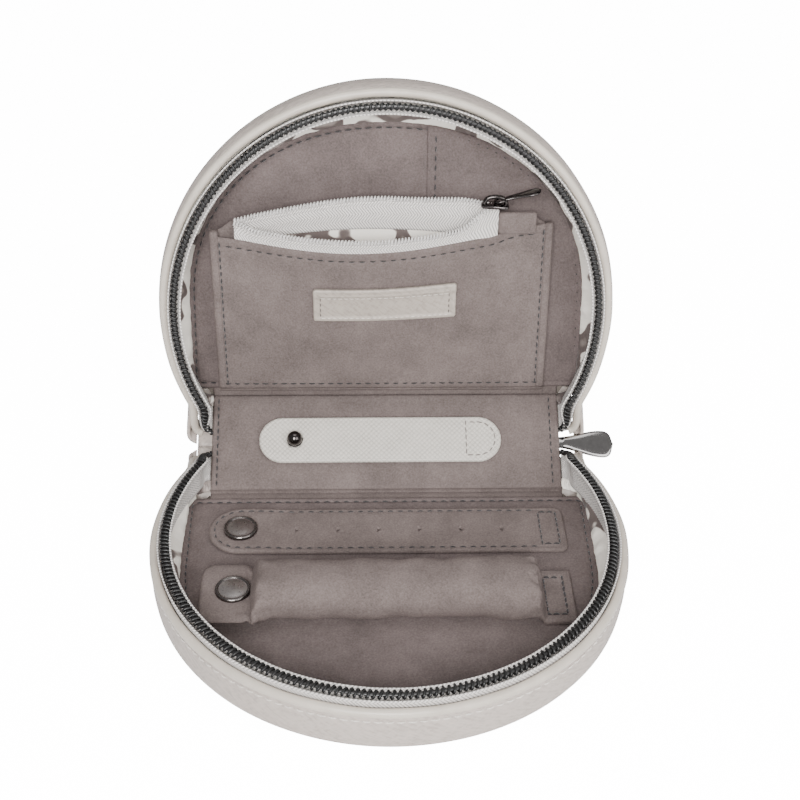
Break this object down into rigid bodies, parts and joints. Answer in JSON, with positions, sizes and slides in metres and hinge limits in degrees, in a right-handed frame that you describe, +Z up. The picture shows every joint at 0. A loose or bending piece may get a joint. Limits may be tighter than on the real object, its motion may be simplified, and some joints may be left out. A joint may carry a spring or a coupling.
{
  "type": "jewelry box",
  "caption": "Round zip-around travel jewelry case, open on a hinged spine, with a ring roll, earring strap, necklace strap and zip pouch.",
  "frame": {"origin": "centre of the round lower tray's underside, on the surface that it stands on", "axes": "+Z up out of the open tray, +Y towards the spine and the raised lid, +X to the right across the case"},
  "size_m": [0.1558, 0.1642, 0.135],
  "materials": {
    "outer_leather": "light warm grey faux leather with a fine diagonal grain",
    "smooth_leather": "smooth light grey edge binding",
    "strap_leather": "light grey leather with a fine diamond emboss",
    "label_leather": "light grey pebbled leather",
    "suede": "warm grey microsuede",
    "print_lining": "off-white satin printed with grey-brown blots",
    "zipper_tape": "off-white herringbone polyester tape",
    "zipper_coil": "black nylon coil with a metallic sheen",
    "pouch_teeth": "off-white nylon coil",
    "gunmetal": "polished gunmetal",
    "bright_metal": "polished nickel-grey metal",
    "board": "stiffening board",
    "foam": "polyurethane foam"
  },
  "bodies": {
    "lower_case": {"lower_outer_base": "outer_leather", "lower_outer_wall": "outer_leather", "lower_base_board": "board", "lower_floor_foam": "foam", "lower_floor_panel": "suede", "lower_wall_foam": "foam", "lower_wall_lining": "print_lining", "lower_piping": "smooth_leather", "lower_zipper_tape": "zipper_tape", "lower_zipper_coil": "zipper_coil", "earring_strap_end": "suede", "earring_snap_stud": "gunmetal", "ring_roll_end_tab": "suede", "ring_snap_stud": "gunmetal"},
    "spine": {"outer_spine": "outer_leather", "spine_board": "board", "spine_foam": "foam", "spine_lining": "suede", "necklace_strap_end": "strap_leather", "ball_stud": "gunmetal", "main_slider": "gunmetal"},
    "lid": {"upper_outer_base": "outer_leather", "upper_outer_wall": "outer_leather", "upper_base_board": "board", "upper_back_foam": "foam", "upper_back_panel": "suede", "side_pocket_panel": "suede", "upper_wall_foam": "foam", "upper_wall_lining": "print_lining", "upper_piping": "smooth_leather", "upper_zipper_tape": "zipper_tape", "upper_zipper_coil": "zipper_coil", "pouch_hem": "suede"},
    "earring_strap": {"earring_strap": "suede", "earring_snap_cap": "gunmetal", "earring_snap_socket": "gunmetal"},
    "ring_roll": {"ring_roll_cover": "suede", "ring_roll_core": "foam", "ring_snap_cap": "gunmetal", "ring_snap_socket": "gunmetal"},
    "necklace_strap": {"necklace_strap": "strap_leather"},
    "main_pull": {"main_pull_tab": "bright_metal"},
    "pouch": {"pouch_back_panel": "suede", "pouch_front_panel": "suede", "pouch_side_seams": "suede", "pouch_back_lining": "print_lining", "pouch_front_lining": "print_lining", "pouch_back_tape": "zipper_tape", "pouch_front_tape": "zipper_tape", "pouch_back_teeth": "pouch_teeth", "pouch_front_teeth": "pouch_teeth", "pouch_end_tab": "suede", "label_plate": "label_leather"},
    "pouch_slider": {"pouch_slider": "gunmetal"},
    "pouch_pull": {"pouch_pull_tab": "gunmetal"}
  },
  "joints": [
    {"name": "spine_fold", "type": "hinge", "parent": "lower_case", "child": "spine", "pos_m": [0, 0.0366, 0.002], "axis": [1, 0, 0], "range_deg": [-34, 56]},
    {"name": "lid_fold", "type": "hinge", "parent": "spine", "child": "lid", "pos_m": [0, 0.06645, 0.02213], "axis": [1, 0, 0], "range_deg": [-45.3, 44.7]},
    {"name": "earring_strap_lift", "type": "hinge", "parent": "lower_case", "child": "earring_strap", "pos_m": [0.0499, 0.0132, 0.0065], "axis": [0, -1, 0], "range_deg": [-120, 0]},
    {"name": "ring_roll_lift", "type": "hinge", "parent": "lower_case", "child": "ring_roll", "pos_m": [0.0485, -0.021, 0.00675], "axis": [0, -1, 0], "range_deg": [-75, 0]},
    {"name": "necklace_strap_lift", "type": "hinge", "parent": "spine", "child": "necklace_strap", "pos_m": [0.0263, 0.04808, 0.01716], "axis": [0, -0.829, -0.5592], "range_deg": [-120, 0]},
    {"name": "main_pull_swivel", "type": "hinge", "parent": "spine", "child": "main_pull", "pos_m": [0.0582, 0.05074, 0.01323], "axis": [0, 0.829, 0.5592], "range_deg": [-8, 33]},
    {"name": "pouch_tilt", "type": "hinge", "parent": "lid", "child": "pouch", "pos_m": [-0.0015, 0.06259, 0.02947], "axis": [-1, 0, 0], "range_deg": [-45, 2.5]},
    {"name": "pouch_slider_travel", "type": "slide", "parent": "pouch", "child": "pouch_slider", "axis": [-0.9986, -0.053, 0.0048], "range_m": [0, 0.078]},
    {"name": "pouch_pull_swivel", "type": "hinge", "parent": "pouch_slider", "child": "pouch_pull", "pos_m": [0.0351, 0.06725, 0.09899], "axis": [0, 0.9959, -0.0906], "range_deg": [-136, 10]}
  ]
}
